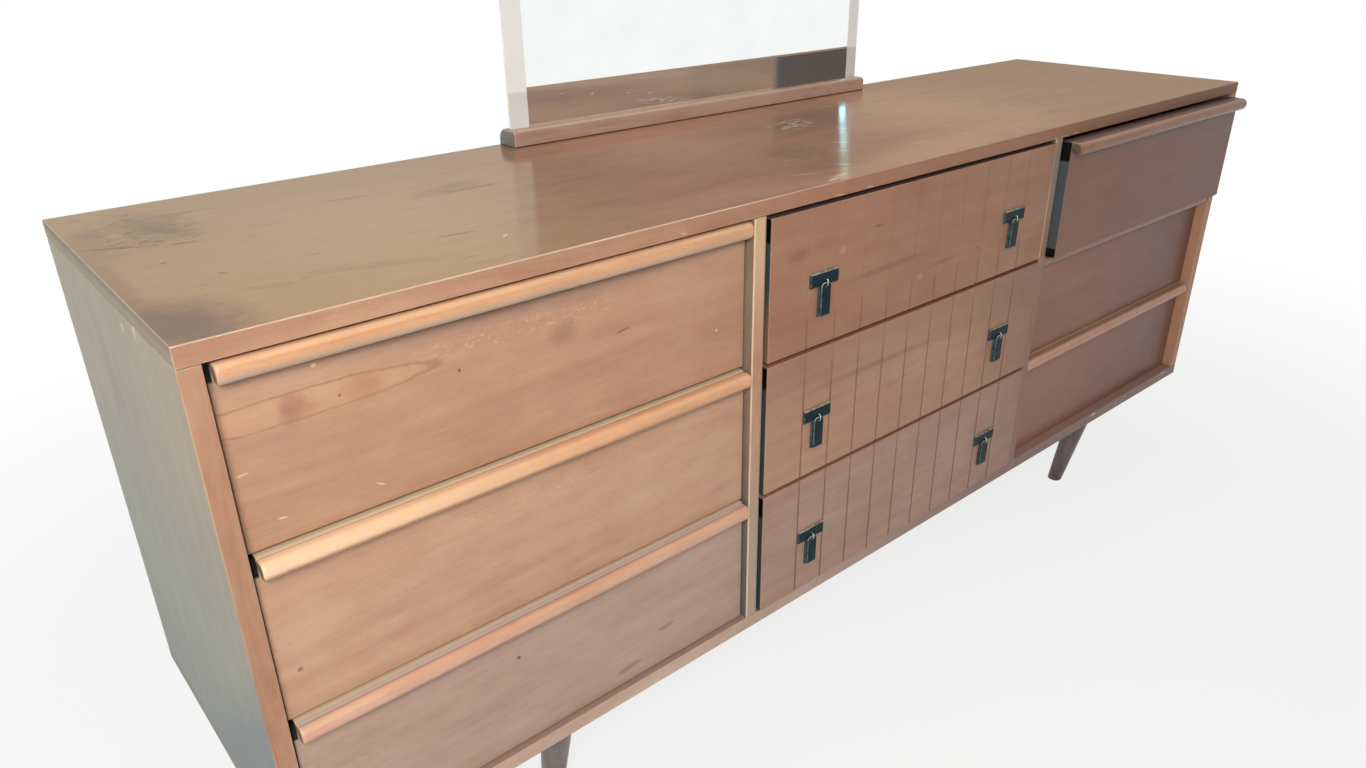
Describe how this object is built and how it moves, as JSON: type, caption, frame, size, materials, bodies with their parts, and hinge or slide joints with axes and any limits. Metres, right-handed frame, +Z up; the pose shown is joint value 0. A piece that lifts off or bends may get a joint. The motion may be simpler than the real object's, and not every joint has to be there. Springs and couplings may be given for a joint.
{
  "type": "dresser with mirror",
  "caption": "Long low dresser on tapered legs: lip-pull drawers flank a grooved centre bank with T-shaped drop pulls, and a bevelled mirror stands in a rail on the top.",
  "frame": {"origin": "on the floor, under the middle of the space the dresser takes up", "axes": "+X along the dresser's length to the viewer's right, +Y from the drawers to the back, +Z up"},
  "size_m": [1.829, 0.5052, 1.6636],
  "materials": {
    "case_wood": "satin lacquered walnut veneer",
    "front_wood": "satin lacquered walnut veneer",
    "lip_wood": "worn satin lacquer on solid walnut",
    "leg_wood": "dark stained satin",
    "drawer_wood": "bare pale hardwood",
    "hidden_wood": "bare",
    "black_metal": "semi-gloss black",
    "mirror": "silvered bevelled plate",
    "steel": "plated"
  },
  "bodies": {
    "case": {"case_top": "case_wood", "side_panel_left": "case_wood", "side_panel_right": "case_wood", "divider_left": "case_wood", "divider_right": "case_wood", "case_bottom": "case_wood", "back_panel": "hidden_wood", "leg_front_left": "leg_wood", "leg_front_right": "leg_wood", "leg_back_left": "leg_wood", "leg_back_right": "leg_wood", "mirror_rail": "case_wood", "mirror_glass": "mirror", "mirror_backboard": "hidden_wood", "mirror_support_left": "hidden_wood", "mirror_support_right": "hidden_wood", "mirror_clip_left": "steel", "mirror_clip_right": "steel", "dust_frame_left_upper": "hidden_wood", "dust_frame_left_lower": "hidden_wood", "dust_frame_centre_upper": "hidden_wood", "dust_frame_centre_lower": "hidden_wood", "dust_frame_right_upper": "hidden_wood", "dust_frame_right_lower": "hidden_wood"},
    "left_top_drawer": {"left_top_drawer_front": "front_wood", "left_top_drawer_box": "drawer_wood", "left_top_lip_pull": "lip_wood"},
    "left_middle_drawer": {"left_middle_drawer_front": "front_wood", "left_middle_drawer_box": "drawer_wood", "left_middle_lip_pull": "lip_wood"},
    "left_bottom_drawer": {"left_bottom_drawer_front": "front_wood", "left_bottom_drawer_box": "drawer_wood", "left_bottom_lip_pull": "lip_wood"},
    "centre_top_left_drop": {"centre_top_left_pull_drop": "black_metal"},
    "centre_top_right_drop": {"centre_top_right_pull_drop": "black_metal"},
    "centre_top_drawer": {"centre_top_drawer_front": "front_wood", "centre_top_drawer_box": "drawer_wood", "centre_top_left_pull_plate": "black_metal", "centre_top_right_pull_plate": "black_metal"},
    "centre_middle_left_drop": {"centre_middle_left_pull_drop": "black_metal"},
    "centre_middle_right_drop": {"centre_middle_right_pull_drop": "black_metal"},
    "centre_middle_drawer": {"centre_middle_drawer_front": "front_wood", "centre_middle_drawer_box": "drawer_wood", "centre_middle_left_pull_plate": "black_metal", "centre_middle_right_pull_plate": "black_metal"},
    "centre_bottom_left_drop": {"centre_bottom_left_pull_drop": "black_metal"},
    "centre_bottom_right_drop": {"centre_bottom_right_pull_drop": "black_metal"},
    "centre_bottom_drawer": {"centre_bottom_drawer_front": "front_wood", "centre_bottom_drawer_box": "drawer_wood", "centre_bottom_left_pull_plate": "black_metal", "centre_bottom_right_pull_plate": "black_metal"},
    "right_top_drawer": {"right_top_drawer_front": "front_wood", "right_top_drawer_box": "drawer_wood", "right_top_lip_pull": "lip_wood"},
    "right_middle_drawer": {"right_middle_drawer_front": "front_wood", "right_middle_drawer_box": "drawer_wood", "right_middle_lip_pull": "lip_wood"},
    "right_bottom_drawer": {"right_bottom_drawer_front": "front_wood", "right_bottom_drawer_box": "drawer_wood", "right_bottom_lip_pull": "lip_wood"}
  },
  "joints": [
    {"name": "left_top_drawer_slide", "type": "slide", "parent": "case", "child": "left_top_drawer", "axis": [0, -1, 0], "range_m": [0, 0.33]},
    {"name": "left_middle_drawer_slide", "type": "slide", "parent": "case", "child": "left_middle_drawer", "axis": [0, -1, 0], "range_m": [-0.002, 0.328]},
    {"name": "left_bottom_drawer_slide", "type": "slide", "parent": "case", "child": "left_bottom_drawer", "axis": [0, -1, 0], "range_m": [-0.004, 0.326]},
    {"name": "centre_top_drawer_slide", "type": "slide", "parent": "case", "child": "centre_top_drawer", "axis": [0, -1, 0], "range_m": [0, 0.33]},
    {"name": "centre_middle_drawer_slide", "type": "slide", "parent": "case", "child": "centre_middle_drawer", "axis": [0, -1, 0], "range_m": [0, 0.33]},
    {"name": "centre_bottom_drawer_slide", "type": "slide", "parent": "case", "child": "centre_bottom_drawer", "axis": [0, -1, 0], "range_m": [0, 0.33]},
    {"name": "right_top_drawer_slide", "type": "slide", "parent": "case", "child": "right_top_drawer", "axis": [0, -1, 0], "range_m": [-0.032, 0.298]},
    {"name": "right_middle_drawer_slide", "type": "slide", "parent": "case", "child": "right_middle_drawer", "axis": [0, -1, 0], "range_m": [0, 0.33]},
    {"name": "right_bottom_drawer_slide", "type": "slide", "parent": "case", "child": "right_bottom_drawer", "axis": [0, -1, 0], "range_m": [0, 0.33]},
    {"name": "centre_top_left_drop_hinge", "type": "hinge", "parent": "centre_top_drawer", "child": "centre_top_left_drop", "pos_m": [-0.2032, -0.23005, 0.61925], "axis": [-1, 0, 0], "range_deg": [0, 85]},
    {"name": "centre_top_right_drop_hinge", "type": "hinge", "parent": "centre_top_drawer", "child": "centre_top_right_drop", "pos_m": [0.2032, -0.23005, 0.61925], "axis": [-1, 0, 0], "range_deg": [0, 85]},
    {"name": "centre_middle_left_drop_hinge", "type": "hinge", "parent": "centre_middle_drawer", "child": "centre_middle_left_drop", "pos_m": [-0.2032, -0.23005, 0.43775], "axis": [-1, 0, 0], "range_deg": [0, 85]},
    {"name": "centre_middle_right_drop_hinge", "type": "hinge", "parent": "centre_middle_drawer", "child": "centre_middle_right_drop", "pos_m": [0.2032, -0.23005, 0.43775], "axis": [-1, 0, 0], "range_deg": [0, 85]},
    {"name": "centre_bottom_left_drop_hinge", "type": "hinge", "parent": "centre_bottom_drawer", "child": "centre_bottom_left_drop", "pos_m": [-0.2032, -0.23005, 0.25625], "axis": [-1, 0, 0], "range_deg": [0, 85]},
    {"name": "centre_bottom_right_drop_hinge", "type": "hinge", "parent": "centre_bottom_drawer", "child": "centre_bottom_right_drop", "pos_m": [0.2032, -0.23005, 0.25625], "axis": [-1, 0, 0], "range_deg": [0, 85]}
  ]
}
